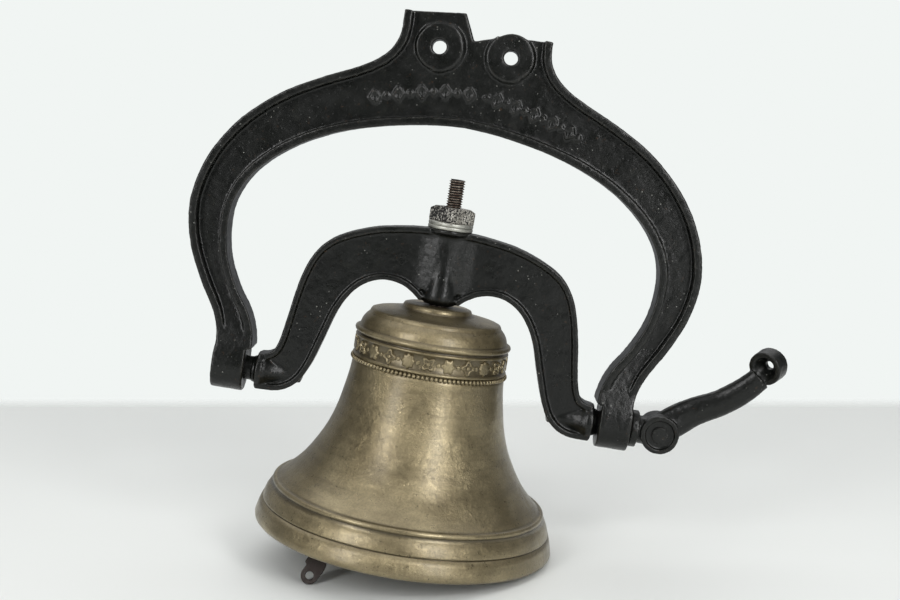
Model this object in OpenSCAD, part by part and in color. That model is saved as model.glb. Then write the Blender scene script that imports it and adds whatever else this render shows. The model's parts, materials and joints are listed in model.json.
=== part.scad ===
// Yard dinner bell: a bronze bell under a cast iron yoke that swings between the arms of a harp frame.
// Row frame: X along the trunnion axis, towards the pull lever; Z up; the mounting face is the plane Y = 0.
// Origin: midway between the two bolt holes of the frame's flange, on its rear (mounting) face.

/* [Bell] */
// Diameter of the bell's mouth
mouth_d = 236; // [230:0.5:240]
// Height of the bell, from the top of its boss to its lip
bell_h = 183; // [180:0.5:186]
// Wall thickness of the bell's waist
waist_wall = 6.4; // [5:0.1:7]
// Diameter of the hole through the bell's crown
crown_hole_d = 14.4; // [13.5:0.1:16]

/* [Frame] */
// Height from the trunnion axis up to the flange bolt holes
axis_drop = 268; // [266:0.5:272]
// Spacing of the two flange bolt holes
bolt_spacing = 55; // [52:0.5:58]
// Diameter of the flange bolt holes
bolt_hole_d = 11; // [9:0.1:13]
// Depth of the frame's rims, front to back
frame_depth = 24; // [22:0.5:28]
// Thickness of the frame's web
frame_web = 8; // [6:0.5:12]
// Width of the raised rims along the frame's edges
frame_rim = 6; // [4:0.5:8]
// Outer radius of the bearing eyes at the ends of the frame's arms
eye_r = 18.5; // [16:0.5:20]

/* [Yoke] */
// Diameter of the yoke's trunnions
trunnion_d = 18.8; // [16:0.1:20]
// Radial running clearance of the trunnions in the frame's eyes
trunnion_gap = 0.08; // [0.02:0.01:0.1]
// Depth of the yoke's rims, front to back
yoke_depth = 20; // [18:0.5:22]
// Thickness of the yoke's web
yoke_web = 13; // [8:0.5:16]
// How far the side play lets the yoke sit over towards the lever
side_play = 2; // [0:0.1:2.5]

/* [Bolt] */
// Diameter of the threaded centre bolt
bolt_d = 12.7; // [12:0.1:13]
// Height of the centre bolt's end above the trunnion axis
bolt_top = 171; // [160:0.5:180]
// Width across the flats of the square nut
nut_af = 25; // [22:0.1:26]
// Height of the square nut
nut_h = 11.5; // [10:0.1:13]
// Outer diameter of the flat washers
washer_d = 34.9; // [32:0.1:36]
// Thickness of each flat washer
washer_t = 2.8; // [2:0.1:3]

/* [Clapper] */
// Angle of the clapper from the bell's axis in the rest position
clapper_lean = 30; // [0:0.5:30]
// Compass direction in which the clapper leans and swings
lean_azimuth = 229; // [200:1:260]
// Length of the clapper, from its pivot to the tip of its tail
clapper_l = 198; // [190:0.5:202]
// Radius of the clapper's ball
ball_r = 23; // [20:0.5:23.5]
// Diameter of the clapper pin
clapper_pin_d = 8; // [7:0.1:9]
// Radial running clearance of the clapper pin
clapper_gap = 0.07; // [0.02:0.01:0.1]

/* [Lever] */
// Distance from the bell's axis to the lever's rivet
rivet_x = 186; // [184:0.5:188]
// Radius of the lever's hub
lever_hub_r = 15; // [14:0.5:16]
// Diameter of the small rope hole in the lever's eye
rope_hole_d = 7; // [6:0.1:9]

/* [Hidden] */
$fn = 96;
eps = 0.01;
iron = [0.09, 0.09, 0.10];
bronze = [0.55, 0.47, 0.30];
zinc = [0.70, 0.71, 0.70];
rust = [0.30, 0.20, 0.15];
forged = [0.14, 0.11, 0.10];

// Heights are above the trunnion axis, and distances along it are from the yoke's own middle.
mid_y = -frame_depth / 2;      // the trunnion axis lies in the frame's middle plane
fit = 0.05;                    // radial clearance of the parts that are clamped or riveted
hub_top = 132;
boss_top = 72;
eye_in = 139.5;                // inner and outer faces of the bearing eyes
eye_out = 164.5;

// Yoke and its long trunnion
yoke_rim = 4.5;
collar_end = 133;
collar_r = 14.5;
collar_step_r = trunnion_d / 2 + 1.2;
spigot_r = 7.4;                // the long trunnion's outer stretch, inside the lever
trunnion_end = 197;
rivet_r = 4.5;
rivet_head_r = 6.2;

// Bolt, fork and washers
washer_hole_r = 7.15;
crown_in = 13;                 // depth of the crown's inner face below the boss
crown_washer_r = 19;
crown_washer_t = 2.5;
shoulder_r = 15;
shoulder_t = 5;
bolt_shoulder_z = boss_top - crown_in - crown_washer_t;
pivot_z = 32;                  // clapper pin
fork_w = 22;
fork_gap = 9.4;
fork_cheek = 6;
cheek_h = bolt_shoulder_z - shoulder_t - pivot_z + 1;

// Clapper, its pin and split pin
clapper_eye_r = 11;
clapper_eye_t = fork_gap - 0.8;
ball_z = -134;
tail_w = 14;
tail_t = 6.5;
tail_eye_r = 6.6;
tail_hole_r = 3.1;
tail_eye_z = -clapper_l + tail_eye_r;
shoulder_z = -clapper_l + 15;
tail_turn = 180 - lean_azimuth;         // turns the flat tail to face the front
pin_head_r = 6.8;
pin_head_t = 3;
pin_head_y = fork_gap / 2 + fork_cheek;
cotter_r = 1.2;
cotter_l = 14;
cotter_y = pin_head_y + 3;
pin_tip_y = cotter_y + 3.5;

// Lever
ring_in = 165.4 - side_play;            // inner and outer faces of its thrust ring
neck_in = 171 - side_play;
ring_r = 14.4;
neck_r = 11;
lever_hub_depth = 25;
recess_r = lever_hub_r - 3.6;
recess_depth = 2.4;
lever_eye_r = 13.2;
lever_eye_t = 13;

// ---- curves -------------------------------------------------------------------------------------------

// One point of a Catmull-Rom curve between p[1] and p[2].
function cr_point(p, t) =
    0.5 * (2 * p[1] + (p[2] - p[0]) * t + (2 * p[0] - 5 * p[1] + 4 * p[2] - p[3]) * t * t
    + (3 * p[1] - p[0] - 3 * p[2] + p[3]) * t * t * t);
// A smooth curve through all the points, with n steps between neighbours.
function smooth(pts, n = 5) = [
    for (i = [0 : len(pts) - 2], k = [0 : n - 1])
        cr_point([pts[max(i - 1, 0)], pts[i], pts[i + 1], pts[min(i + 2, len(pts) - 1)]], k / n),
    pts[len(pts) - 1]];
function reversed(pts) = [for (i = [len(pts) - 1 : -1 : 0]) pts[i]];
function mirrored(pts) = [for (p = reversed(pts)) [-p[0], p[1]]];
function both_halves(pts) = concat(mirrored(pts), [for (i = [1 : len(pts) - 1]) pts[i]]);
function below(pts, z) = [for (p = pts) if (p[1] < z) p];
function unit(v) = v / norm(v);
// The curve moved sideways by d, to the left of its direction for d > 0.
function beside(pts, d) = [
    for (i = [0 : len(pts) - 1])
        let (u = unit(pts[min(i + 1, len(pts) - 1)] - pts[max(i - 1, 0)]))
            pts[i] + d * [-u[1], u[0]]];

// ---- outlines, in the X-Z plane, from the trunnion axis -----------------------------------------------

flange_x = 57;
flange_top = 16;               // top of the flange's right pad, above the bolt holes
boss_r = 18;
boss_front = frame_web / 2 + 2.5;
// Outer edge of the right half of the frame, from the flange down to the bearing eye.
frame_outer = smooth([[flange_x, 284], [flange_x, 277], [58.8, 268], [64, 259], [73, 251], [88, 242.5],
    [111, 232], [136, 218.5], [156, 203.5], [173, 186], [187.3, 164], [196, 140], [198.4, 117], [193.6, 91],
    [182.4, 65], [169.5, 42], [164.2, 24], [164.5, 10], [164.5, -2]]);
// Inner edge of the right half, from the middle down to the bearing eye.
frame_inner = smooth([[0, 210.5], [22, 209], [45, 205.5], [70, 200], [95, 192], [119, 180.5], [139.6, 166],
    [155.4, 149], [165.2, 129], [167.2, 108], [163.6, 84], [153.8, 62], [142.8, 45], [137, 30], [135.5, 17]]);
frame_inner_end = 17;
foot_top = 70;
flange_edge = [[-flange_x, flange_top + axis_drop + 7], [-11, flange_top + axis_drop + 12],
    [-2, axis_drop + 8], [20, flange_top + axis_drop - 1], [flange_x, flange_top + axis_drop]];

// Upper and lower edges of the right half of the yoke.
yoke_upper = smooth([[0, 131.2], [16, 131.2], [32, 129.8], [55, 125.8], [77, 117.8], [92, 108.5], [101.5, 96],
    [107.5, 80], [111.5, 62], [114.5, 43], [117.5, 27], [121, 18.5], [126, 15], [132, 14]]);
yoke_lower = smooth([[15, 74.5], [21, 79.5], [30, 84.5], [42, 86.5], [54.5, 83.2], [66.2, 74], [76.5, 56.6],
    [84, 33], [91.5, 10], [100, -4.5], [113, -12.5], [132, -14]]);

// ---- placing ------------------------------------------------------------------------------------------

module from_axis() {
    translate([0, mid_y, -axis_drop]) children();
}
module swung() {
    from_axis() translate([side_play, 0, 0]) children();
}
// Extrudes an outline drawn in X and Z symmetrically about the middle plane.
module slab(depth) {
    rotate([90, 0, 0]) linear_extrude(height = depth, center = true) children();
}
module along_x(x0, x1, r) {
    translate([x0, 0, 0]) rotate([0, 90, 0]) cylinder(h = x1 - x0, r = r);
}
module along_y(length, r) {
    rotate([90, 0, 0]) cylinder(h = length, r = r, center = true);
}
// The clapper's plane: its local X points the way it leans, and its local Y is the pin's axis.
module clapper_plane() {
    swung() translate([0, 0, pivot_z]) rotate([0, 0, lean_azimuth]) children();
}

// ---- frame --------------------------------------------------------------------------------------------

// The left rim runs on up to the top of the taller left pad.
left_rim_end = [[-flange_x, 280], [frame_rim - flange_x, 280], [frame_rim - flange_x, 291.6],
    [-flange_x, 291]];
module frame_outline() {
    polygon(concat(mirrored(frame_inner), frame_inner, reversed(frame_outer), reversed(flange_edge),
        mirrored(reversed(frame_outer))));
}
module edge_band(edge, d) {
    polygon(concat(edge, reversed(beside(edge, d))));
}
module both_sides() {
    children();
    mirror([1, 0, 0]) children();
}
module flange_bosses() {
    for (x = [-1, 1] * bolt_spacing / 2) translate([x, 0, axis_drop]) {
        along_y(2 * boss_front, boss_r);
        translate([0, frame_depth / 4, 0]) along_y(frame_depth / 2, boss_r);
    }
}
foot_end = [[eye_out, -eye_r - 1], [eye_in, -eye_r - 1], [eye_in, frame_inner_end]];
// Side profile of an arm's foot: a round eye that tapers up into the web.
module foot_profile() {
    circle(r = eye_r);
    side = smooth([[eye_r, 0], [eye_r - 1, 10], [14, 22], [9.6, 35], [6.4, 48], [4.6, 60],
        [2, foot_top - 1]], 3);
    polygon(concat(side, mirrored(side)));
}
module foot() {
    intersection() {
        translate([120, 0, 0]) rotate([90, 0, 90]) linear_extrude(height = 60) foot_profile();
        slab(3 * eye_r) polygon(concat(below(frame_outer, foot_top), foot_end,
            reversed(below(frame_inner, foot_top))));
    }
}
module hanger_frame() {
    color(iron) from_axis() difference() {
        union() {
            slab(frame_web) frame_outline();
            slab(frame_depth) polygon(left_rim_end);
            both_sides() {
                slab(frame_depth) edge_band(frame_outer, -frame_rim);
                foot();
            }
            slab(frame_depth) edge_band(both_halves(frame_inner), frame_rim);
            flange_bosses();
        }
        for (x = [-1, 1] * bolt_spacing / 2) translate([x, 0, axis_drop]) along_y(80, bolt_hole_d / 2);
        along_x(-eye_out - 5, eye_out + 5, trunnion_d / 2 + trunnion_gap);
    }
}

// ---- yoke ---------------------------------------------------------------------------------------------

// Radius and height of the hub that the centre bolt passes through.
hub_profile = [[0, boss_top], [7, boss_top], [12, 73.3], [14.8, 76.5], [15, 80], [14, 87], [12.9, 96],
    [12.3, 106], [12.2, 120], [12.6, 125], [14, 127.5], [17.5, 129], [17.5, hub_top], [0, hub_top]];
// Radius and distance along the axis of the flare that leads from the web into a collar.
flare_profile = [[0, 96], [5.6, 98], [6.6, 106], [7.7, 112], [9.4, 118], [11.6, 123], [13.4, 126],
    [13.9, 128.5], [0, 128.5]];
// Section of the soft ridge over the hub: the web swells to the hub's radius and dies away sideways.
ridge_w = 25;
ridge_rise = 5.6;
ridge_side = [for (x = [-ridge_w : 2.5 : ridge_w])
    [x, yoke_web / 2 - 0.05 + ridge_rise * (1 + cos(180 * x / ridge_w)) / 2]];
module yoke_half() {
    slab(yoke_web) polygon(concat([[0, 78]], yoke_lower, reversed(yoke_upper)));
    slab(yoke_depth) edge_band(yoke_upper, -yoke_rim);
    slab(yoke_depth) edge_band(yoke_lower, yoke_rim);
    rotate([0, 90, 0]) rotate_extrude() polygon(flare_profile);
    along_x(128, collar_end, collar_r);
    along_x(collar_end - 1, collar_end + 2.5, collar_step_r);
}
module yoke() {
    color(iron) swung() difference() {
        union() {
            both_sides() yoke_half();
            rotate_extrude() polygon(hub_profile);
            translate([0, 0, 83]) linear_extrude(height = 44)
                polygon(concat(ridge_side, [for (p = reversed(ridge_side)) [p[0], -p[1]]]));
            along_x(-eye_out - side_play - 1, 1 - collar_end, trunnion_d / 2);
            along_x(collar_end - 1, eye_out - side_play, trunnion_d / 2);
            along_x(eye_out - side_play - eps, trunnion_end, spigot_r);
        }
        translate([0, 0, boss_top - 1]) cylinder(h = hub_top - boss_top + 2, r = bolt_d / 2 + 0.9);
        translate([rivet_x, 0, 0]) along_y(40, rivet_r + fit);
    }
}

// ---- bell ---------------------------------------------------------------------------------------------

// All bell outlines are radius and height, with the boss's top at height 0.
bell_crown = [[24.5, 0], [26.2, -0.6], [27, -2], [27.3, -3.8], [30, -5], [40, -6.3], [48.5, -7.9],
    [50.6, -8.7], [51.4, -10]];
bell_shoulder = smooth([[51.8, -11.4], [54.6, -14.4], [56.8, -18], [58, -22.2]], 3);
bell_band = [[59.4, -22.8], [60.9, -23.6], [61.3, -24.8], [60.9, -26], [59.6, -26.8], [58.6, -27.4],
    [58.6, -28.6], [59.9, -29], [60.2, -29.7], [59.9, -30.4], [59, -30.8], [59.1, -43.2], [60.1, -43.6],
    [60.5, -44.4]];
bead_line = [for (a = [70 : -20 : -70]) [60.3, -47.4] + 1.7 * [cos(a), sin(a)]];
bell_waist = smooth([[59.9, -50.6], [60.8, -60], [63.2, -74], [66.4, -89], [71, -103], [77.5, -116.5],
    [86.5, -131], [95.5, -141.5], [103.2, -148.8]]);
bow_bead = [for (a = [110 : -25 : -60]) [105.6, -151.6] + 2.1 * [cos(a), sin(a)]];
bell_lip = [[109.6, -156], [112, -160.5], [113.8, -165.4], [113.9, -166.2], [113.3, -166.8], [114.5, -167.6],
    [116, -171.5], [117.3, -176.5], [mouth_d / 2, -179.6], [mouth_d / 2 - 0.3, -181.6],
    [mouth_d / 2 - 1.6, -bell_h]];
bow_inside = smooth([[112.9, -bell_h], [111.2, -179.4], [107.6, -172.5], [102.6, -164.5], [96.5, -155]], 4);
waist_inside = beside(reversed([for (p = bell_waist) if (p[1] > -137) p]), waist_wall);
crown_inside = smooth([[52.6, -38], [51.2, -27], [46.5, -19], [38, -14.6], [28, -crown_in]], 4);
module bell() {
    color(bronze) swung() translate([0, 0, boss_top]) rotate_extrude($fn = 128)
        polygon(concat(bell_crown, bell_shoulder, bell_band, bead_line, bell_waist, bow_bead, bell_lip,
            bow_inside, waist_inside, crown_inside, [[crown_hole_d / 2, -crown_in], [crown_hole_d / 2, 0]]));
}

// ---- centre bolt, nut and washers ---------------------------------------------------------------------

module ring(z, h, r_out, r_in) {
    swung() translate([0, 0, z]) difference() {
        cylinder(h = h, r = r_out);
        translate([0, 0, -1]) cylinder(h = h + 2, r = r_in);
    }
}
module center_bolt() {
    color(rust) {
        swung() {
            translate([0, 0, bolt_shoulder_z - shoulder_t]) cylinder(h = shoulder_t, r = shoulder_r);
            translate([0, 0, bolt_shoulder_z - 1]) cylinder(h = bolt_top - bolt_shoulder_z, r = bolt_d / 2);
            translate([0, 0, bolt_top - 1]) cylinder(h = 1, r1 = bolt_d / 2, r2 = bolt_d / 2 - 1);
        }
        clapper_plane() difference() {
            for (s = [-1, 1]) translate([0, s * (fork_gap + fork_cheek) / 2, 0]) {
                along_y(fork_cheek, fork_w / 2);
                translate([0, 0, cheek_h / 2]) cube([fork_w, fork_cheek, cheek_h], center = true);
            }
            along_y(40, clapper_pin_d / 2 + 0.02);
        }
    }
}
module square_nut() {
    nut_z = hub_top + 2 * washer_t;
    color([0.35, 0.35, 0.34]) swung() translate([0, 0, nut_z]) difference() {
        intersection() {
            rotate([0, 0, 45]) translate([-nut_af / 2, -nut_af / 2, 0]) cube([nut_af, nut_af, nut_h]);
            union() {
                cylinder(h = nut_h - 2.6, r = nut_af);
                translate([0, 0, nut_h - 2.6]) cylinder(h = 2.6, r1 = nut_af * 0.73, r2 = nut_af * 0.55);
            }
        }
        translate([0, 0, -1]) cylinder(h = nut_h + 2, r = bolt_d / 2 + fit);
    }
}
module washer_lower() {
    color(zinc) ring(hub_top, washer_t, washer_d / 2, washer_hole_r);
}
module washer_upper() {
    color(zinc) ring(hub_top + washer_t, washer_t, washer_d / 2, washer_hole_r);
}
module crown_washer() {
    color(zinc) ring(bolt_shoulder_z, crown_washer_t, crown_washer_r, washer_hole_r);
}

// ---- clapper ------------------------------------------------------------------------------------------

shank_outline = [[0, -9], [4.2, -9.5], [4.3, -12], [5.4, -20], [5.8, -60], [6.4, -100]];
neck_outline = [[7.6, ball_z - 22.5], [6.2, ball_z - 30], [0, ball_z - 30]];
// The ball is drawn out towards the pivot and slightly flattened below.
ball_outline = [for (a = [70 : -10 : -66])
    [ball_r * cos(a), ball_z + (a > 0 ? 1.12 : 0.96) * ball_r * sin(a)]];
module clapper() {
    color(forged) clapper_plane() rotate([0, -clapper_lean, 0]) {
        difference() {
            union() {
                along_y(clapper_eye_t, clapper_eye_r);
                rotate_extrude() polygon(concat(shank_outline, ball_outline, neck_outline));
            }
            along_y(40, clapper_pin_d / 2 + clapper_gap);
        }
        rotate([0, 0, tail_turn]) slab(tail_t) difference() {
            union() {
                translate([-tail_w / 2, shoulder_z]) square([tail_w, ball_z - 18 - shoulder_z]);
                polygon([[-tail_w / 2 - 0.6, shoulder_z + 4], [-tail_w / 2 - 0.9, shoulder_z],
                    [-tail_eye_r, tail_eye_z], [tail_eye_r, tail_eye_z], [5.8, shoulder_z - 2.5],
                    [tail_w / 2 + 0.9, shoulder_z - 1], [tail_w / 2 + 0.6, shoulder_z + 3]]);
                translate([0, tail_eye_z]) circle(r = tail_eye_r);
            }
            translate([0, tail_eye_z]) circle(r = tail_hole_r);
        }
    }
}
module clapper_pin() {
    color(rust) clapper_plane() difference() {
        union() {
            translate([0, (pin_tip_y - pin_head_y) / 2, 0])
                along_y(pin_head_y + pin_tip_y, clapper_pin_d / 2);
            translate([0, -pin_head_y - pin_head_t / 2, 0]) along_y(pin_head_t, pin_head_r);
        }
        translate([0, cotter_y, 0]) along_x(-10, 10, cotter_r + fit);
    }
}
// The split pin: a straight leg with a ring at one end.
module clapper_cotter() {
    color(zinc) clapper_plane() translate([0, cotter_y, 0]) {
        along_x(-cotter_l / 2, cotter_l / 2, cotter_r);
        translate([-cotter_l / 2 - 2, 0, 0]) rotate([90, 0, 0])
            rotate_extrude() translate([2.3, 0]) circle(r = 0.9, $fn = 24);
    }
}

// ---- lever --------------------------------------------------------------------------------------------

eye_centre = [rivet_x - side_play + 75.5, -9, 66.5];
eye_turn = [0, 72, 51];
// Middle line of the lever's arm, with its half height and half depth at each point.
arm_line = smooth([[rivet_x + 2, 0, 3], [rivet_x + 13, 0, 12], [rivet_x + 26, -1, 21.5],
    [rivet_x + 43, -2.5, 31], [rivet_x + 58, -5, 43], [rivet_x + 69, -7.5, 56]], 4);
arm_size = smooth([[12.5, 9], [12.6, 8], [11.4, 7.4], [10.6, 7], [10.2, 6.8], [9.4, 6.6]], 4);
// Rings of an oval section along a path; each ring stands square to the path in the X-Z plane.
module oval_sweep(path, size, sides = 20) {
    last = len(path) - 1;
    points = [for (i = [0 : last])
        let (d = path[min(i + 1, last)] - path[max(i - 1, 0)], a = atan2(d[2], d[0]))
            for (k = [0 : sides - 1]) let (t = 360 * k / sides)
                path[i] + size[i][0] * cos(t) * [-sin(a), 0, cos(a)] + size[i][1] * sin(t) * [0, 1, 0]];
    faces = concat([[for (k = [sides - 1 : -1 : 0]) k]], [[for (k = [0 : sides - 1]) last * sides + k]],
        [for (i = [0 : last - 1], k = [0 : sides - 1]) let (n = (k + 1) % sides)
            [i * sides + k, i * sides + n, (i + 1) * sides + n, (i + 1) * sides + k]]);
    polyhedron(points, faces);
}
module lever() {
    color(iron) swung() difference() {
        union() {
            along_x(ring_in, neck_in, ring_r);
            along_x(neck_in, rivet_x, neck_r);
            translate([rivet_x, 0, 0]) along_y(lever_hub_depth, lever_hub_r);
            oval_sweep(arm_line, arm_size);
            translate(eye_centre) rotate(eye_turn) cylinder(h = lever_eye_t, r = lever_eye_r, center = true);
        }
        along_x(0, trunnion_end + 0.5, spigot_r + fit);
        translate([rivet_x, 0, 0]) along_y(60, rivet_r + fit);
        translate([rivet_x, -lever_hub_depth / 2, 0]) along_y(2 * recess_depth, recess_r);
        translate(eye_centre) rotate(eye_turn) {
            cylinder(h = 60, r = rope_hole_d / 2, center = true);
            translate([0, 0, -6.6]) cylinder(h = 8.6, r1 = 9.2, r2 = rope_hole_d / 2);
        }
    }
}
module lever_rivet() {
    rivet_back = lever_hub_depth / 2;
    rivet_front = rivet_back - recess_depth;
    color(forged) swung() translate([rivet_x, 0, 0]) {
        translate([0, recess_depth / 2, 0]) along_y(rivet_back + rivet_front, rivet_r);
        translate([0, -rivet_front - 1.4, 0]) along_y(2.8, rivet_head_r);
        translate([0, rivet_back + 1.2, 0]) along_y(2.4, rivet_head_r);
    }
}

hanger_frame();
yoke();
bell();
center_bolt();
square_nut();
washer_upper();
washer_lower();
crown_washer();
clapper();
clapper_pin();
clapper_cotter();
lever();
lever_rivet();
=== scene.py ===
"""Looks of the yard dinner bell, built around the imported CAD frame."""
import json
import math

import bmesh
import bpy
import numpy as np
from mathutils import Matrix, Vector


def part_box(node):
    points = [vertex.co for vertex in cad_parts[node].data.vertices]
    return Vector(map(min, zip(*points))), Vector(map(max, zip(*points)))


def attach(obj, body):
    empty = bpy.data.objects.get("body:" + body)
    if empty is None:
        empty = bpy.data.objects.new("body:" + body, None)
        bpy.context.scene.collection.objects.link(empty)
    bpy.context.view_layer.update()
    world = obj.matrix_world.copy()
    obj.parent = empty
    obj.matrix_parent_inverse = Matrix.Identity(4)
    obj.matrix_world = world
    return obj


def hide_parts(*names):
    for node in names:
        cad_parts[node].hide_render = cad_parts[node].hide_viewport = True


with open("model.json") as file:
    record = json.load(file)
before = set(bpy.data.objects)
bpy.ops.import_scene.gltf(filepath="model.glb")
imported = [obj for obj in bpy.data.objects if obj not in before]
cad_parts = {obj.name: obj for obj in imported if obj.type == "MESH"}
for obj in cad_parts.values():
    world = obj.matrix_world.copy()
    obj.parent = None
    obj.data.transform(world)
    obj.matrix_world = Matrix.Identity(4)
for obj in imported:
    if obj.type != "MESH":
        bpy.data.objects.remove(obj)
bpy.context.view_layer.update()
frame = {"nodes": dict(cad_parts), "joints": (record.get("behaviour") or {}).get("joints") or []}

MM = 0.001
JOINTS = {j["name"]: j for j in frame["joints"]}
AXIS = Vector(JOINTS["bell_swing"]["pos_m"])        # the middle of the trunnion axis
PIVOT = Vector(JOINTS["clapper_swing"]["pos_m"])    # the clapper's pin, on the bell's own axis
FLANGE_Z = 0.0                                      # height of the two flange bolt holes


# ---- meshes -------------------------------------------------------------------------------------------

def make_piece(name, mesh, slot, body, finish, *nodes):
    """Puts a finished mesh into the scene as a piece that rides on a body and stands for CAD nodes."""
    piece = bpy.data.objects.new(name, mesh)
    bpy.context.scene.collection.objects.link(piece)
    mesh.name = name
    mesh.materials.clear()
    mesh.materials.append(finish)
    mesh.shade_smooth()
    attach(piece, body)
    if nodes:
        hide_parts(*nodes)
    return piece


def mesh_from(name, verts, faces):
    mesh = bpy.data.meshes.new(name)
    mesh.from_pydata(np.asarray(verts, float).tolist(), [], [list(map(int, f)) for f in faces])
    bm = bmesh.new()
    bm.from_mesh(mesh)
    bmesh.ops.recalc_face_normals(bm, faces=bm.faces)
    bm.to_mesh(mesh)
    bm.free()
    return mesh


def grid_faces(rows, cols):
    """Faces of a grid that closes on itself in both directions."""
    i, j = np.meshgrid(np.arange(rows), np.arange(cols), indexing="ij")
    i, j = i.ravel(), j.ravel()
    up, on = (i + 1) % rows, (j + 1) % cols
    return np.stack([i * cols + j, i * cols + on, up * cols + on, up * cols + j], axis=1)


def smooth_curve(points, steps=5):
    """A Catmull-Rom curve through the points, with this many steps between neighbours."""
    p = np.asarray(points, float)
    p = np.vstack([p[0], p, p[-1]])
    t = np.arange(steps)[:, None] / steps
    parts = [0.5 * (2 * b + (c - a) * t + (2 * a - 5 * b + 4 * c - d) * t ** 2
                    + (3 * b - a - 3 * c + d) * t ** 3)
             for a, b, c, d in zip(p[:-3], p[1:-2], p[2:-1], p[3:])]
    return np.vstack(parts + [p[-2:-1]])


def ring_mesh(name, outline, segments, middle, top):
    """A closed outline of (radius, height) in millimetres turned round the vertical line through middle."""
    outline = np.asarray(outline, float) * MM
    angle = np.arange(segments) * 2 * math.pi / segments
    x = outline[:, :1] * np.cos(angle) + middle.x
    y = outline[:, :1] * np.sin(angle) + middle.y
    z = np.repeat(outline[:, 1:], segments, axis=1) + top
    return mesh_from(name, np.stack([x, y, z], axis=-1).reshape(-1, 3), grid_faces(len(outline), segments))


def rounded(points, size, steps=3):
    """The closed outline with its corners cut to little curves."""
    p = np.asarray(points, float)
    made = []
    for a, b, c in zip(np.roll(p, 1, axis=0), p, np.roll(p, -1, axis=0)):
        to_a, to_c = a - b, c - b
        la, lc = np.linalg.norm(to_a), np.linalg.norm(to_c)
        s = b + to_a / la * min(size, la * 0.45)
        e = b + to_c / lc * min(size, lc * 0.45)
        for k in range(steps + 1):
            t = k / steps
            made.append((1 - t) ** 2 * s + 2 * t * (1 - t) * b + t ** 2 * e)
    return np.array(made)


def join_meshes(name, meshes):
    bm = bmesh.new()
    for mesh in meshes:
        bm.from_mesh(mesh)
        bpy.data.meshes.remove(mesh)
    joined = bpy.data.meshes.new(name)
    bm.to_mesh(joined)
    bm.free()
    return joined


DOME = ((1.0, 0.0), (0.95, 0.55), (0.86, 0.88), (0.6, 1.0), (0.3, 1.0))
HOLLOW = ((1.0, 0.0), (0.93, 0.8), (0.82, 1.0), (0.68, 0.8), (0.6, 0.0), (0.3, 0.0))


def mound(outline, height, place, depth=0.8, section=DOME):
    """A small closed relief: outline points (u, v) in millimetres rise as the section says, to this height."""
    outline = np.asarray(outline, float)
    n = len(outline)
    rings = [(1.0, -depth)] + list(section)
    verts = [place(u * f, v * f, height * h if h > 0 else h) for f, h in rings for u, v in outline]
    faces = [(r * n + k, r * n + (k + 1) % n, (r + 1) * n + (k + 1) % n, (r + 1) * n + k)
             for r in range(len(rings) - 1) for k in range(n)]
    verts += [place(0, 0, -depth), place(0, 0, height * rings[-1][1])]
    faces += [(len(verts) - 2, (k + 1) % n, k) for k in range(n)]
    faces += [(len(verts) - 1, (len(rings) - 1) * n + k, (len(rings) - 1) * n + (k + 1) % n) for k in range(n)]
    return mesh_from("mound", verts, faces)


def petals(count, width, height, dent, n=32, turn=0.0):
    """An outline with this many lobes."""
    a = np.arange(n) * 2 * math.pi / n
    r = 1 - dent + dent * np.cos(count * (a + turn))
    return np.stack([r * np.cos(a) * width / 2, r * np.sin(a) * height / 2], axis=1)


# ---- castings -----------------------------------------------------------------------------------------

def with_modifiers(mesh, *steps):
    """The mesh as these modifiers leave it. Each step is (kind, settings) or (kind, settings, kept points)."""
    piece = bpy.data.objects.new("work", mesh)
    bpy.context.scene.collection.objects.link(piece)
    for kind, settings, *calm in steps:
        modifier = piece.modifiers.new(kind, kind)
        for key, value in settings.items():
            setattr(modifier, key, value)
        if calm:
            group = piece.vertex_groups.new(name="calm")
            group.add([int(i) for i in np.nonzero(calm[0])[0]], 1.0, "REPLACE")
            modifier.vertex_group = "calm"
            modifier.invert_vertex_group = True
    graph = bpy.context.evaluated_depsgraph_get()
    made = bpy.data.meshes.new_from_object(piece.evaluated_get(graph))
    bpy.data.objects.remove(piece)
    bpy.data.meshes.remove(mesh)
    return made


def points_of(mesh):
    co = np.empty(len(mesh.vertices) * 3, np.float32)
    mesh.vertices.foreach_get("co", co)
    return co.reshape(-1, 3)


def clouds(name, size, depth=2):
    texture = bpy.data.textures.new(name, "CLOUDS")
    texture.noise_scale = size
    texture.noise_depth = depth
    return texture


def node_mesh(node):
    """A copy of a CAD node's mesh with its split vertices joined."""
    mesh = frame["nodes"][node].data.copy()
    bm = bmesh.new()
    bm.from_mesh(mesh)
    bmesh.ops.remove_doubles(bm, verts=bm.verts, dist=1e-6)
    bm.to_mesh(mesh)
    bm.free()
    return mesh


def casting(node, voxel, soften, lumps, faces, relief=(), calm=None, source=None):
    """The CAD solid and its relief in one skin, with rounded edges and an uneven surface, inside the CAD box.

    lumps are (size, height) pairs in millimetres; calm says which points stay smooth."""
    mesh = source or node_mesh(node)
    if relief:
        mesh = join_meshes("cast", [mesh] + list(relief))
    mesh = with_modifiers(mesh, ("REMESH", {"mode": "VOXEL", "voxel_size": voxel * MM}),
                          ("SMOOTH", {"factor": 0.5, "iterations": soften}))
    for k, (size, height) in enumerate(lumps):
        kept = calm(points_of(mesh)) if calm else np.zeros(len(mesh.vertices), bool)
        mesh = with_modifiers(mesh, ("DISPLACE", {"texture": clouds(f"{node}_{k}", size * MM),
                                                  "strength": height * MM, "mid_level": 0.5}, kept))
    ratio = faces / max(2 * len(mesh.polygons), 1)
    if ratio < 1:
        mesh = with_modifiers(mesh, ("DECIMATE", {"ratio": ratio}))
    low, high = (np.array(c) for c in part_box(node))
    co = np.clip(points_of(mesh), low, high).astype(np.float32)
    mesh.vertices.foreach_set("co", co.ravel())
    mesh.update()
    return mesh


# ---- materials ----------------------------------------------------------------------------------------

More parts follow.
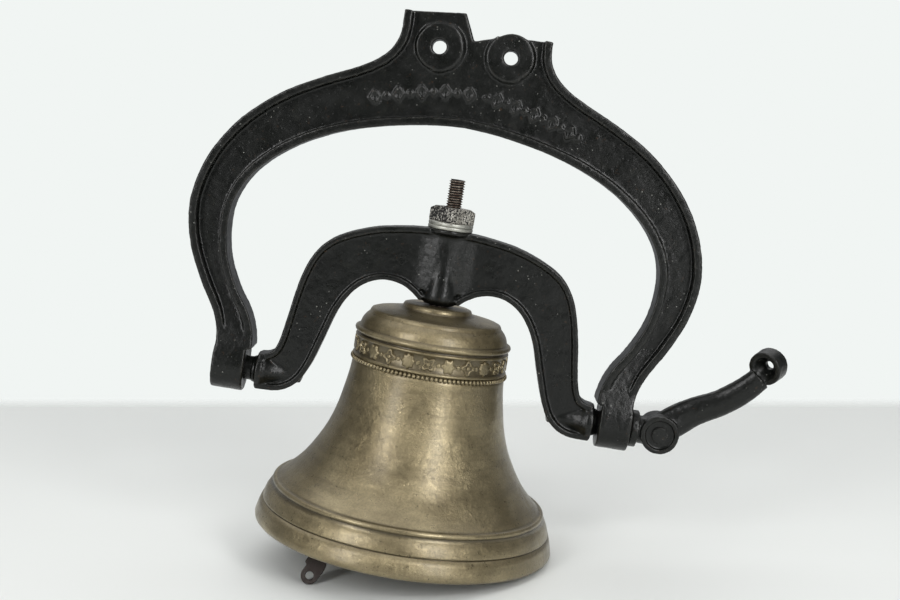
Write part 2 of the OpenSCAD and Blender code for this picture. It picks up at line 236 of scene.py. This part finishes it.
def rgb(r, g, b):
    """A display colour, 0 to 255, as linear light."""
    shares = (r / 255, g / 255, b / 255)
    return tuple(c / 12.92 if c <= 0.04045 else ((c + 0.055) / 1.055) ** 2.4 for c in shares)


class Finish:
    """A node material. Its patterns are laid out in the object's own metres."""

    def __init__(self, name):
        self.material = bpy.data.materials.new(name)
        self.material.use_nodes = True
        self.tree = self.material.node_tree
        self.shader = next(n for n in self.tree.nodes if n.type == "BSDF_PRINCIPLED")
        self.place = self.add("ShaderNodeTexCoord").outputs["Object"]

    def add(self, kind, values=None, **settings):
        node = self.tree.nodes.new(kind)
        for key, value in settings.items():
            setattr(node, key, value)
        for key, value in (values or {}).items():
            self.put(node.inputs[key], value)
        return node

    def put(self, socket, value):
        if isinstance(value, bpy.types.NodeSocket):
            self.tree.links.new(value, socket)
        elif socket.type == "RGBA" and len(value) == 3:
            socket.default_value = (*value, 1)
        else:
            socket.default_value = value

    def stretched(self, x, y, z):
        return self.add("ShaderNodeMapping", {"Vector": self.place, "Scale": (x, y, z)}).outputs[0]

    def noise(self, size, detail=4.0, rough=0.55, where=None, twist=0.0):
        """Smooth noise whose patches are about size millimetres across."""
        return self.add("ShaderNodeTexNoise", {"Vector": where or self.place, "Scale": 1000 / size,
                                               "Detail": detail, "Roughness": rough,
                                               "Distortion": twist}).outputs["Fac"]

    def cells(self, size):
        """Distance to scattered points about size millimetres apart."""
        return self.add("ShaderNodeTexVoronoi", {"Vector": self.place, "Scale": 1000 / size,
                                                 "Randomness": 1.0}).outputs["Distance"]

    def ramp(self, value, *stops):
        """Stops are (place, grey or colour)."""
        node = self.add("ShaderNodeValToRGB", {"Fac": value})
        marks = node.color_ramp.elements
        while len(marks) < len(stops):
            marks.new(0.5)
        for mark, (place, colour) in zip(marks, sorted(stops, key=lambda s: s[0])):
            mark.position = place
            colour = colour if isinstance(colour, tuple) else (colour,) * 3
            mark.color = (*colour, 1)
        return node.outputs["Color"]

    def maths(self, operation, a, b=0.0, c=0.0):
        node = self.add("ShaderNodeMath", operation=operation)
        for socket, value in zip(node.inputs, (a, b, c)):
            self.put(socket, value)
        return node.outputs[0]

    def mix(self, share, a, b):
        node = self.add("ShaderNodeMix", data_type="RGBA")
        self.put(node.inputs[0], share)
        self.put(node.inputs[6], a)
        self.put(node.inputs[7], b)
        return node.outputs[2]

    def bump(self, height, distance, strength=1.0, under=None):
        values = {"Height": height, "Distance": distance * MM, "Strength": strength}
        if under is not None:
            values["Normal"] = under
        return self.add("ShaderNodeBump", values).outputs[0]

    def worn(self, low, high):
        """From 0 to 1 along edges and high spots."""
        pointed = self.add("ShaderNodeNewGeometry").outputs["Pointiness"]
        return self.ramp(pointed, (low, 0.0), (high, 1.0))

    def height(self):
        """Height above the origin in metres."""
        return self.add("ShaderNodeSeparateXYZ", {"Vector": self.place}).outputs[2]

    def done(self, **sockets):
        for key, value in sockets.items():
            self.put(self.shader.inputs[key.replace("_", " ")], value)
        return self.material


def iron_paint():
    """Old black enamel on cast iron: pebbled, thin on the edges, glossy in places, dusty with light specks that
    are partly painted glints, a little rusty.
    """
    f = Finish("iron_paint")
    broad = f.noise(38, 5)
    grime = f.noise(9, 6, 0.65, twist=0.4)
    black = f.mix(broad, rgb(6, 7, 6), rgb(13, 15, 12))
    black = f.mix(f.ramp(grime, (0.56, 0.0), (0.76, 0.6)), black, rgb(27, 28, 23))
    edge = f.maths("MULTIPLY", f.worn(0.51, 0.58), f.ramp(f.noise(5, 4), (0.38, 0.0), (0.62, 1.0)))
    black = f.mix(f.maths("MULTIPLY", edge, 0.6), black, rgb(72, 70, 65))
    rust = f.ramp(f.noise(3.4, 5, 0.6), (0.64, 0.0), (0.74, 0.9))
    black = f.mix(f.maths("MULTIPLY", rust, 0.22), black, rgb(96, 68, 46))
    # Light specks on the enamel: partly dust, partly painted glints of light.
    dust_and_glints = f.maths("MULTIPLY", f.ramp(f.cells(4.6), (0.07, 1.0), (0.12, 0.0)),
                   f.ramp(f.noise(20, 3), (0.48, 0.0), (0.6, 0.6)))
    black = f.mix(dust_and_glints, black, rgb(146, 146, 140))
    rough = f.ramp(f.noise(14, 5), (0.3, 0.25), (0.7, 0.41))
    bumps = f.bump(f.noise(5.5, 3, 0.5), 0.3, 0.4)
    bumps = f.bump(f.noise(1.9, 3), 0.26, 0.55, bumps)
    bumps = f.bump(f.ramp(f.cells(3.6), (0.05, 0.0), (0.24, 1.0)), 0.2, 0.5, bumps)
    f.shader.inputs["Specular IOR Level"].default_value = 0.26
    f.shader.inputs["Coat Roughness"].default_value = 0.17
    f.shader.inputs["Coat Weight"].default_value = 0.09
    return f.done(Base_Color=black, Roughness=rough, Normal=bumps)


def bell_bronze():
    """Aged, once polished bell metal: olive gold, mottled, with casting pits and faint turning rings."""
    f = Finish("bell_bronze")
    patch = f.noise(40, 6, 0.6, twist=0.3)
    speck = f.noise(1.5, 4, 0.7)
    streaks = f.noise(9, 5, 0.6, where=f.stretched(0.16, 0.16, 1.6))
    gold = f.mix(f.ramp(patch, (0.3, 0.0), (0.7, 1.0)), rgb(113, 101, 72), rgb(158, 145, 112))
    gold = f.mix(f.ramp(streaks, (0.45, 0.0), (0.75, 0.6)), gold, rgb(94, 83, 58))
    gold = f.mix(f.ramp(speck, (0.4, 0.3), (0.6, 0.0)), gold, rgb(76, 66, 46))
    pits = f.maths("MULTIPLY", f.ramp(f.cells(3.1), (0.05, 1.0), (0.16, 0.0)),
                   f.ramp(f.noise(16, 3), (0.5, 0.0), (0.62, 1.0)))
    lip = f.ramp(f.maths("MULTIPLY", f.height(), -1.0), (0.352, 0.25), (0.366, 1.0))
    pits = f.maths("MULTIPLY", pits, lip)
    gold = f.mix(f.maths("MULTIPLY", pits, 0.85), gold, rgb(40, 34, 24))
    gold = f.mix(f.maths("SUBTRACT", 1.0, f.worn(0.43, 0.495)), gold, rgb(50, 43, 30))
    rough = f.ramp(f.noise(4.5, 6, 0.75), (0.34, 0.25), (0.66, 0.49))
    skin = f.ramp(f.noise(30, 3, twist=0.3), (0.42, 0.15), (0.58, 0.95))
    grain = f.maths("MULTIPLY", f.noise(2.9, 6, 0.7, twist=0.3), skin)
    bumps = f.bump(speck, 0.17, 0.55)
    bumps = f.bump(grain, 0.8, 0.8, bumps)
    bumps = f.bump(f.noise(7, 4, where=f.stretched(0.12, 0.12, 1.0)), 0.3, 0.25, bumps)
    bumps = f.bump(f.noise(22, 4), 1.2, 0.2, bumps)
    bumps = f.bump(f.maths("SUBTRACT", 1.0, pits), 0.35, 0.8, bumps)
    f.shader.inputs["Metallic"].default_value = 0.78
    f.shader.inputs["Specular IOR Level"].default_value = 0.7
    f.shader.inputs["Coat Weight"].default_value = 0.5
    f.shader.inputs["Coat Roughness"].default_value = 0.3
    return f.done(Base_Color=gold, Roughness=rough, Normal=bumps)


def rusted(name, steel, rust, share, roughness=0.55, metallic=0.75):
    """Steel under patchy rust. share moves the line between the two from 0, all steel, to 1, all rust."""
    f = Finish(name)
    cover = f.ramp(f.noise(4.5, 6, 0.65, twist=0.3), (0.8 - 0.55 * share, 0.0), (0.92 - 0.5 * share, 1.0))
    shade = f.mix(f.noise(1.3, 4), rust, tuple(c * 0.45 for c in rust))
    colour = f.mix(cover, f.mix(f.noise(6, 4), steel, tuple(c * 0.6 for c in steel)), shade)
    bright = f.maths("SUBTRACT", 1.0, cover)
    rough = f.maths("MULTIPLY_ADD", cover, 0.3, roughness - 0.12)
    bumps = f.bump(f.noise(1.1, 4), 0.16, 0.6)
    bumps = f.bump(cover, 0.12, 0.5, bumps)
    return f.done(Base_Color=colour, Roughness=rough, Metallic=f.maths("MULTIPLY", bright, metallic),
                  Normal=bumps)


def bolt_steel():
    """The bolt's brown steel: rubbed grey-tan on the thread's crests, near-black painted shade in its roots,
    rust in between.
    """
    f = Finish("bolt_steel")
    parts = f.add("ShaderNodeSeparateXYZ", {"Vector": f.place})
    x = f.maths("SUBTRACT", parts.outputs[0], PIVOT.x)
    y = f.maths("SUBTRACT", parts.outputs[1], PIVOT.y)
    out = f.maths("SQRT", f.maths("ADD", f.maths("MULTIPLY", x, x), f.maths("MULTIPLY", y, y)))
    crest_vs_root_shade = f.add("ShaderNodeMapRange", {"Value": out, "From Min": 5.2 * MM, "From Max": 6.25 * MM}).outputs[0]
    rust = f.mix(f.noise(3.5, 5, 0.6), rgb(58, 44, 36), rgb(98, 74, 60))
    steel = f.mix(f.ramp(f.noise(2.4, 5, 0.65), (0.42, 0.0), (0.6, 1.0)), rust, rgb(150, 140, 128))
    # The roots are painted near-black as shade in the thread's grooves; the crests show the rubbed steel and
    # rust.
    colour = f.mix(crest_vs_root_shade, rgb(16, 13, 11), steel)
    bumps = f.bump(f.noise(0.9, 4), 0.14, 0.6)
    f.shader.inputs["Metallic"].default_value = 0.45
    f.shader.inputs["Roughness"].default_value = 0.5
    return f.done(Base_Color=colour, Normal=bumps)


def nut_steel():
    """The nut's plating, eaten through: bright silver between black pits, with its left side painted darker as
    shade.
    """
    f = Finish("nut_steel")
    # side shifts the pitting along x, beside the real pits: the left side is painted darker as shade and the
    # right side lighter.
    side = f.add("ShaderNodeMapRange", {"Value": f.add("ShaderNodeSeparateXYZ", {"Vector": f.place}).outputs[0],
                                        "From Min": PIVOT.x - 6 * MM, "From Max": PIVOT.x + 5 * MM,
                                        "To Min": -0.08, "To Max": 0.015}).outputs[0]
    silver_between_pits_and_shade = f.ramp(f.maths("ADD", f.noise(1.5, 3, 0.6), side), (0.45, 0.0), (0.53, 1.0))
    wide = f.ramp(f.noise(9, 3), (0.4, 0.0), (0.65, 0.5))
    colour = f.mix(silver_between_pits_and_shade, rgb(18, 16, 14), f.mix(wide, rgb(222, 218, 208), rgb(120, 112, 102)))
    rough = f.ramp(silver_between_pits_and_shade, (0.0, 0.7), (1.0, 0.34))
    bumps = f.bump(silver_between_pits_and_shade, 0.3, 0.9)
    f.put(f.shader.inputs["Metallic"], f.maths("MULTIPLY", silver_between_pits_and_shade, 0.85))
    return f.done(Base_Color=colour, Roughness=rough, Normal=bumps)


def zinc_plate():
    """Dull zinc with smudges and fine turning lines."""
    f = Finish("zinc_plate")
    smudge = f.noise(6, 6, 0.6)
    grey = f.mix(smudge, rgb(146, 146, 138), rgb(188, 188, 180))
    grey = f.mix(f.ramp(f.noise(2.2, 5), (0.56, 0.0), (0.7, 0.7)), grey, rgb(92, 88, 78))
    rough = f.ramp(smudge, (0.3, 0.36), (0.7, 0.52))
    bumps = f.bump(f.noise(1.0, 3), 0.06, 0.5)
    f.shader.inputs["Metallic"].default_value = 0.8
    return f.done(Base_Color=grey, Roughness=rough, Normal=bumps)


black_iron = iron_paint()
bronze = bell_bronze()
rusty_and_root_shaded = bolt_steel()
pitted_and_shaded = nut_steel()
forged = rusted("clapper_iron", rgb(62, 55, 51), rgb(46, 32, 26), 0.7, 0.5, 0.5)
zinc = zinc_plate()


# ---- frame, yoke and lever ----------------------------------------------------------------------------

WEB_FRONT = AXIS.y - 4 * MM    # front face of the frame's web
BOSS_X = 27.5                  # millimetres from the middle to each flange boss
BOSS_R = 19.4                  # outer radius of the crescents on the bosses


def near_axis(radius, low, high, off=AXIS.x):
    """Says which points lie within radius of the trunnion axis, low to high millimetres from its middle."""
    def found(co):
        out = np.abs(co[:, 0] - off) / MM
        return (np.hypot(co[:, 1] - AXIS.y, co[:, 2] - AXIS.z) < radius * MM) & (out > low) & (out < high)
    return found


def frame_ornament():
    """Two plain runs of hollow lozenges and studs on the frame's web, along its inner edge."""
    lozenge = [(0, 6), (1.9, 3.9), (3.8, 1.4), (4.6, 0), (3.8, -1.4), (1.9, -3.9),
               (0, -6), (-1.9, -3.9), (-3.8, -1.4), (-4.6, 0), (-3.8, 1.4), (-1.9, 3.9)]
    stud = petals(4, 6, 6, 0.16, 24)
    arc = smooth_curve([(-74, 222), (-45, 230), (-15, 235), (15, 235.5), (45, 230), (70, 223), (90, 215)], 12)
    steps = np.concatenate([[0], np.cumsum(np.linalg.norm(np.diff(arc, axis=0), axis=1))])
    made = []
    for k, along in enumerate(np.concatenate([np.linspace(4, 76, 9), np.linspace(90, steps[-1] - 3, 11)])):
        x, z = np.interp(along, steps, arc[:, 0]), np.interp(along, steps, arc[:, 1])
        ahead = np.interp(along + 1, steps, arc[:, 0]) - x, np.interp(along + 1, steps, arc[:, 1]) - z
        c, s = np.array(ahead) / np.hypot(*ahead)

        def place(u, v, h, x=x, z=z, c=c, s=s):
            return (AXIS.x + (x + u * c - v * s) * MM, WEB_FRONT - h * MM, AXIS.z + (z + u * s + v * c) * MM)
        if k % 2 == 0:
            made.append(mound(lozenge, 1.7, place, section=HOLLOW))
        else:
            made.append(mound(stud, 1.4, place))
    return made


def boss_rings():
    """A low crescent round the front of each flange boss, as if the core had sat a little off centre."""
    made = []
    for x, turn in ((-BOSS_X, -15), (BOSS_X, 215)):
        a = np.radians(np.linspace(turn - 85, turn + 85, 60))
        width = 2.4 * np.cos(np.linspace(-1, 1, 60) * 1.5)
        outer = np.stack([BOSS_R * np.cos(a), BOSS_R * np.sin(a)], axis=1)
        inner_r = BOSS_R - width - 0.3
        inner = np.stack([inner_r * np.cos(a), inner_r * np.sin(a)], axis=1)
        line = np.vstack([outer, inner[::-1]])
        n = len(line)
        verts = [(x * MM + u * MM, WEB_FRONT - h * MM, FLANGE_Z + v * MM)
                 for h in (-1.0, 1.6) for u, v in line]
        faces = [(k, (k + 1) % n, n + (k + 1) % n, n + k) for k in range(n)]
        faces += [(k, k + 1, n - 2 - k, n - 1 - k) for k in range(n // 2 - 1)]
        faces += [(n + k, 2 * n - 1 - k, 2 * n - 2 - k, n + k + 1) for k in range(n // 2 - 1)]
        made.append(mesh_from("crescent", verts, faces))
    return made


make_piece("frame_casting",
           casting("hanger_frame", 0.85, 6, ((30, 0.5), (6, 0.34), (2.8, 0.34)), 140000,
                   frame_ornament() + boss_rings(), near_axis(10.6, 0, 170)),
           "painted_iron", "frame", black_iron, "hanger_frame")
make_piece("yoke_casting",
           casting("yoke", 0.75, 9, ((22, 0.5), (6, 0.22), (2.8, 0.28)), 100000,
                   calm=near_axis(10.4, 134, 200, PIVOT.x)),
           "painted_iron", "swing", black_iron, "yoke")
make_piece("lever_casting",
           casting("lever", 0.5, 10, ((14, 0.6), (4.5, 0.32), (2.2, 0.2)), 44000,
                   calm=near_axis(8.6, 160, 200, PIVOT.x)),
           "painted_iron", "swing", black_iron, "lever")
make_piece("lever_rivet_head",
           casting("lever_rivet", 0.3, 6, ((3, 0.15),), 6000),
           "painted_iron", "swing", black_iron, "lever_rivet")


# ---- bell ---------------------------------------------------------------------------------------------

# Profile points are (radius, height) in millimetres, the height measured from the crown's boss.
BOSS_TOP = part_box("bell")[1].z
WALL = 6.4        # the waist's wall
BAND_R = 59.05    # the band's face
BEAD_RING_R = 60.2
BEAD_R = 1.66
BEADS = 111
crown = [(24.5, 0), (26.2, -0.6), (27, -2), (27.3, -3.8), (30, -5), (40, -6.3), (48.5, -7.9), (50.6, -8.7),
         (51.4, -10)]
shoulder = smooth_curve([(51.8, -11.4), (54.6, -14.4), (56.8, -18), (58, -22.2)], 4)
band = [(59.4, -22.8), (60.9, -23.6), (61.3, -24.8), (60.9, -26), (59.6, -26.8), (58.6, -27.4), (58.6, -28.6),
        (59.9, -29), (60.2, -29.7), (59.9, -30.4), (59, -30.8), (59.1, -37), (59.1, -43.2), (60.1, -43.6),
        (60.5, -44.4), (60.1, -45.2), (59.1, -46), (59, -48.8), (59.6, -49.6)]
waist = smooth_curve([(59.9, -50.6), (60.8, -60), (63.2, -74), (66.4, -89), (71, -103), (77.5, -116.5),
                      (86.5, -131), (95.5, -141.5), (103.2, -148.8)], 6)
sweep = np.radians(np.arange(110, -61, -17))
bow = np.stack([105.6 + 2.1 * np.cos(sweep), -151.6 + 2.1 * np.sin(sweep)], axis=1)
lip = [(109.6, -156), (112, -160.5), (113.6, -165.2), (113.7, -166), (112.5, -166.5), (112.6, -167),
       (114.5, -167.4), (116, -171.5), (117.3, -176.5), (118, -179.6), (117.7, -181.6), (116.4, -183)]
bow_inside = smooth_curve([(112.9, -183), (111.2, -179.4), (107.6, -172.5), (102.6, -164.5), (96.5, -155)], 4)
upper = waist[waist[:, 1] > -137][::-1]
along = np.gradient(upper, axis=0)
along /= np.linalg.norm(along, axis=1)[:, None]
waist_inside = upper + WALL * np.stack([-along[:, 1], along[:, 0]], axis=1)
crown_inside = smooth_curve([(52.6, -38), (51.2, -27), (46.5, -19), (38, -14.6), (28, -13)], 4)
outline = np.vstack([crown, shoulder, band, waist, bow, lip, bow_inside, waist_inside, crown_inside,
                     [(7.2, -13), (7.2, 0)]])
make_piece("bell_body", ring_mesh("bell", outline, 288, PIVOT, BOSS_TOP),
           "aged_bronze", "swing", bronze, "bell")


def bell_beads():
    """One round bead after another along the line under the band."""
    made = []
    for k in range(BEADS):
        a = 2 * math.pi * (k + 0.5) / BEADS
        centre = Vector((PIVOT.x + BEAD_RING_R * MM * math.cos(a), PIVOT.y + BEAD_RING_R * MM * math.sin(a),
                         BOSS_TOP - 47.4 * MM))
        bm = bmesh.new()
        bmesh.ops.create_uvsphere(bm, u_segments=10, v_segments=6, radius=BEAD_R * MM)
        bmesh.ops.translate(bm, verts=bm.verts, vec=centre)
        mesh = bpy.data.meshes.new("bead")
        bm.to_mesh(mesh)
        bm.free()
        made.append(mesh)
    return join_meshes("beads", made)


def band_ornament():
    """Plain raised flowers, lozenges and studs round the bell's band."""
    shapes = [petals(4, 12, 12.4, 0.2, 40), petals(8, 11.4, 12, 0.1, 48),
              petals(4, 12, 12.4, 0.24, 40, math.pi / 4), petals(6, 11.8, 12.2, 0.13, 42)]
    stud = petals(6, 3.4, 3.4, 0.03, 16)
    made = []
    places = 48    # ornament and stud by turns
    for k in range(places):
        a = 2 * math.pi * k / places

        def place(u, v, h, a=a):
            r = (BAND_R + h) * MM
            turn = a + u / BAND_R
            return (PIVOT.x + r * math.cos(turn), PIVOT.y + r * math.sin(turn), BOSS_TOP + (v - 37) * MM)
        if k % 2 == 0:
            made.append(mound(shapes[(k // 2) % 4], 1.25, place, 0.5, HOLLOW if k % 4 == 0 else DOME))
            made.append(mound(petals(5, 3.6, 3.6, 0.1, 20), 1.2, place, 0.5))
        else:
            made.append(mound(stud, 0.9, place, 0.5))
    return join_meshes("ornament", made)


make_piece("bell_bead_line", bell_beads(), "aged_bronze", "swing", bronze)
make_piece("bell_band_ornament", band_ornament(), "aged_bronze", "swing", bronze)


# ---- bolt, nut and washers ----------------------------------------------------------------------------

def threaded_stud(low, high, radius, pitch, depth, segments=56):
    """The bolt's threaded stretch: a helical groove, chamfered and rounded over at the end."""
    z = np.arange(low, high, pitch / 9)
    angle = np.arange(segments) * 2 * math.pi / segments
    turn = (z[:, None] / pitch - angle / (2 * math.pi)) % 1
    groove = np.clip(np.abs(turn - 0.5) * 2.5 - 0.2, 0, 1)
    r = radius - depth * (1 - groove) ** 0.9
    ending = np.clip((high - z) / 1.6, 0, 1)[:, None]
    r = np.minimum(r, (radius - 1.9) + 1.9 * np.sqrt(1 - (1 - ending) ** 2))
    start = np.zeros(segments)[None, :] + 0.5
    rings = np.vstack([start, r, start])
    heights = np.concatenate([[low], z, [high]])
    verts = np.stack([rings * MM * np.cos(angle) + PIVOT.x, rings * MM * np.sin(angle) + PIVOT.y,
                      np.repeat(heights[:, None] * MM + AXIS.z, segments, axis=1)], axis=-1).reshape(-1, 3)
    n = len(heights)
    faces = [f for f in grid_faces(n, segments) if f[0] // segments < n - 1 and f[2] // segments > 0]
    faces += [tuple(range(segments)), tuple(range((n - 1) * segments, n * segments))]
    return mesh_from("thread", verts, faces)


def cut_below(mesh, height):
    """The part of a closed mesh below a height, closed again."""
    bm = bmesh.new()
    bm.from_mesh(mesh)
    cut = bmesh.ops.bisect_plane(bm, geom=bm.verts[:] + bm.edges[:] + bm.faces[:], plane_co=(0, 0, height),
                                 plane_no=(0, 0, 1), clear_outer=True)
    edges = [e for e in cut["geom_cut"] if isinstance(e, bmesh.types.BMEdge)]
    bmesh.ops.holes_fill(bm, edges=edges, sides=0)
    bm.to_mesh(mesh)
    bm.free()
    return mesh


THREAD_R, THREAD_PITCH, THREAD_DEPTH = 6.32, 1.954, 1.25
STUD_FROM = 110    # millimetres above the axis, hidden in the yoke's hub
HOLE_R = 7.15      # the washers' hole
bolt_end = (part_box("center_bolt")[1].z - AXIS.z) / MM
fork = casting("center_bolt", 0.45, 4, ((5, 0.2),), 22000,
               source=cut_below(node_mesh("center_bolt"), AXIS.z + (STUD_FROM + 2) * MM))
stud = threaded_stud(STUD_FROM, bolt_end, THREAD_R, THREAD_PITCH, THREAD_DEPTH)
make_piece("center_bolt_threaded",
           join_meshes("bolt", [fork, stud]),
           "rusty_steel", "swing", rusty_and_root_shaded, "center_bolt")
make_piece("square_nut_pitted_shaded", casting("square_nut", 0.33, 7, ((5, 0.3), (1.6, 0.22)), 22000),
           "worn_steel", "swing", pitted_and_shaded, "square_nut")
for washer in ("washer_lower", "washer_upper", "crown_washer"):
    low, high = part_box(washer)
    outer, thick = (high.x - low.x) / 2 / MM, (high.z - low.z) / MM
    corners = [(HOLE_R, 0), (outer, 0), (outer, thick), (HOLE_R, thick)]
    mesh = ring_mesh(washer, rounded(corners, 1.0), 96, PIVOT, low.z)
    make_piece(washer + "_rounded", mesh, "dull_zinc", "swing", zinc, washer)


# ---- clapper ------------------------------------------------------------------------------------------

make_piece("clapper_forging", casting("clapper", 0.55, 6, ((9, 0.45), (3, 0.25)), 60000),
           "forged_iron", "clapper", forged, "clapper")
make_piece("clapper_pin_turned", casting("clapper_pin", 0.35, 4, ((4, 0.1),), 9000),
           "rusty_steel", "swing", rusty_and_root_shaded, "clapper_pin")
make_piece("clapper_split_pin", casting("clapper_cotter", 0.2, 3, ((2, 0.05),), 6000),
           "dull_zinc", "swing", zinc, "clapper_cotter")


# ---- table, light and camera --------------------------------------------------------------------------

PITCH, ROLL = math.radians(7), math.radians(9)
ahead = Vector((0, math.cos(PITCH), -math.sin(PITCH)))
level_up = Vector((0, math.sin(PITCH), math.cos(PITCH)))
right = Vector((1, 0, 0)) * math.cos(ROLL) + level_up * math.sin(ROLL)
up = level_up * math.cos(ROLL) - Vector((1, 0, 0)) * math.sin(ROLL)
true_up = up * math.cos(PITCH) - ahead * math.sin(PITCH)    # square to the table the bell leans on
level_ahead = true_up.cross(right).normalized()
target = AXIS + Vector((0, 0, 76 * MM)) + right * 10.55 * MM
DISTANCE = 1.0128    # metres from the camera to its target

camera = bpy.data.objects.new("camera", bpy.data.cameras.new("camera"))
bpy.context.scene.collection.objects.link(camera)
camera.data.lens = 52
camera.data.sensor_width = 36
camera.data.clip_start = 0.01
camera.matrix_world = Matrix.Translation(target - ahead * DISTANCE) @ Matrix(
    (right, up, -ahead)).transposed().to_4x4()
bpy.context.scene.camera = camera


def table_finish():
    """Pale blue-grey table top that fades out at its edges into the plain background."""
    f = Finish("table_top")
    parts = f.add("ShaderNodeSeparateXYZ", {"Vector": f.place})
    across, back = parts.outputs[0], parts.outputs[1]
    far = f.add("ShaderNodeMapRange", {"Value": back, "From Min": 0.56, "From Max": 0.63},
                interpolation_type="SMOOTHSTEP").outputs[0]
    side = f.add("ShaderNodeMapRange", {"Value": f.maths("ABSOLUTE", across), "From Min": 1.5, "From Max": 2.6},
                 interpolation_type="SMOOTHSTEP").outputs[0]
    near = f.add("ShaderNodeMapRange", {"Value": f.maths("MULTIPLY", back, -1.0), "From Min": 1.4,
                                        "From Max": 2.4}, interpolation_type="SMOOTHSTEP").outputs[0]
    gone = f.maths("MAXIMUM", far, f.maths("MAXIMUM", side, near))
    tone = f.mix(f.noise(700, 2), rgb(223, 225, 222), rgb(227, 229, 226))
    f.put(f.shader.inputs["Base Color"], tone)
    f.put(f.shader.inputs["Roughness"], 0.55)
    f.put(f.shader.inputs["Alpha"], f.maths("SUBTRACT", 1.0, gone))
    return f.material


TABLE_DROP = 128.5    # millimetres from the axis down to the table
foot = AXIS + true_up * -TABLE_DROP * MM
table = bpy.data.meshes.new("table")
half_table = 3    # metres
corners = [(x * half_table, y * half_table, 0) for x, y in ((-1, -1), (1, -1), (1, 1), (-1, 1))]
table.from_pydata(corners, [], [(0, 1, 2, 3)])
table.materials.append(table_finish())
table_top = bpy.data.objects.new("table", table)
bpy.context.scene.collection.objects.link(table_top)
table_top.matrix_world = Matrix.Translation(foot) @ Matrix((right, level_ahead, true_up)).transposed().to_4x4()


def panel(name, place, size, power, colour=(1, 1, 1), aim=None):
    """A soft box at (right, ahead, up) metres from the bell, turned to it."""
    lamp = bpy.data.lights.new(name, "AREA")
    lamp.shape = "RECTANGLE"
    lamp.size, lamp.size_y = size
    lamp.energy = power
    lamp.color = colour
    box = bpy.data.objects.new(name, lamp)
    bpy.context.scene.collection.objects.link(box)
    spot = AXIS + right * place[0] + level_ahead * place[1] + true_up * place[2]
    look = (aim or AXIS) - spot
    box.matrix_world = Matrix.Translation(spot) @ look.to_track_quat("-Z", "Y").to_matrix().to_4x4()


panel("left_box", (-1.15, -1.5, 0.85), (0.5, 1.7), 23)
panel("right_box", (1.0, -1.7, 0.85), (0.5, 1.7), 29)
panel("top_box", (0.0, 0.5, 1.9), (3.2, 3.0), 42)

world = bpy.data.worlds.new("studio")
bpy.context.scene.world = world
world.use_nodes = True
tree = world.node_tree
tree.nodes.clear()
seen = tree.nodes.new("ShaderNodeBackground")
seen.inputs[0].default_value = (*rgb(241, 245, 243), 1)
room = tree.nodes.new("ShaderNodeBackground")
direction = tree.nodes.new("ShaderNodeTexCoord")
toward = tree.nodes.new("ShaderNodeVectorMath")
toward.operation = "DOT_PRODUCT"
toward.inputs[1].default_value = tuple(level_ahead)
shade = tree.nodes.new("ShaderNodeValToRGB")
shade.color_ramp.elements[0].position = 0.1
shade.color_ramp.elements[0].color = (0.10, 0.105, 0.11, 1)
shade.color_ramp.elements[1].position = 0.85
shade.color_ramp.elements[1].color = (0.36, 0.37, 0.38, 1)
half = tree.nodes.new("ShaderNodeMath")
half.operation = "MULTIPLY_ADD"
half.inputs[1].default_value = 0.5
half.inputs[2].default_value = 0.5
path = tree.nodes.new("ShaderNodeLightPath")
blend = tree.nodes.new("ShaderNodeMixShader")
out = tree.nodes.new("ShaderNodeOutputWorld")
tree.links.new(direction.outputs["Generated"], toward.inputs[0])
tree.links.new(toward.outputs["Value"], half.inputs[0])
tree.links.new(half.outputs[0], shade.inputs[0])
tree.links.new(shade.outputs[0], room.inputs[0])
tree.links.new(path.outputs["Is Camera Ray"], blend.inputs[0])
tree.links.new(room.outputs[0], blend.inputs[1])
tree.links.new(seen.outputs[0], blend.inputs[2])
tree.links.new(blend.outputs[0], out.inputs[0])
room.inputs[1].default_value = 0.8

bpy.context.scene.view_settings.view_transform = "Standard"
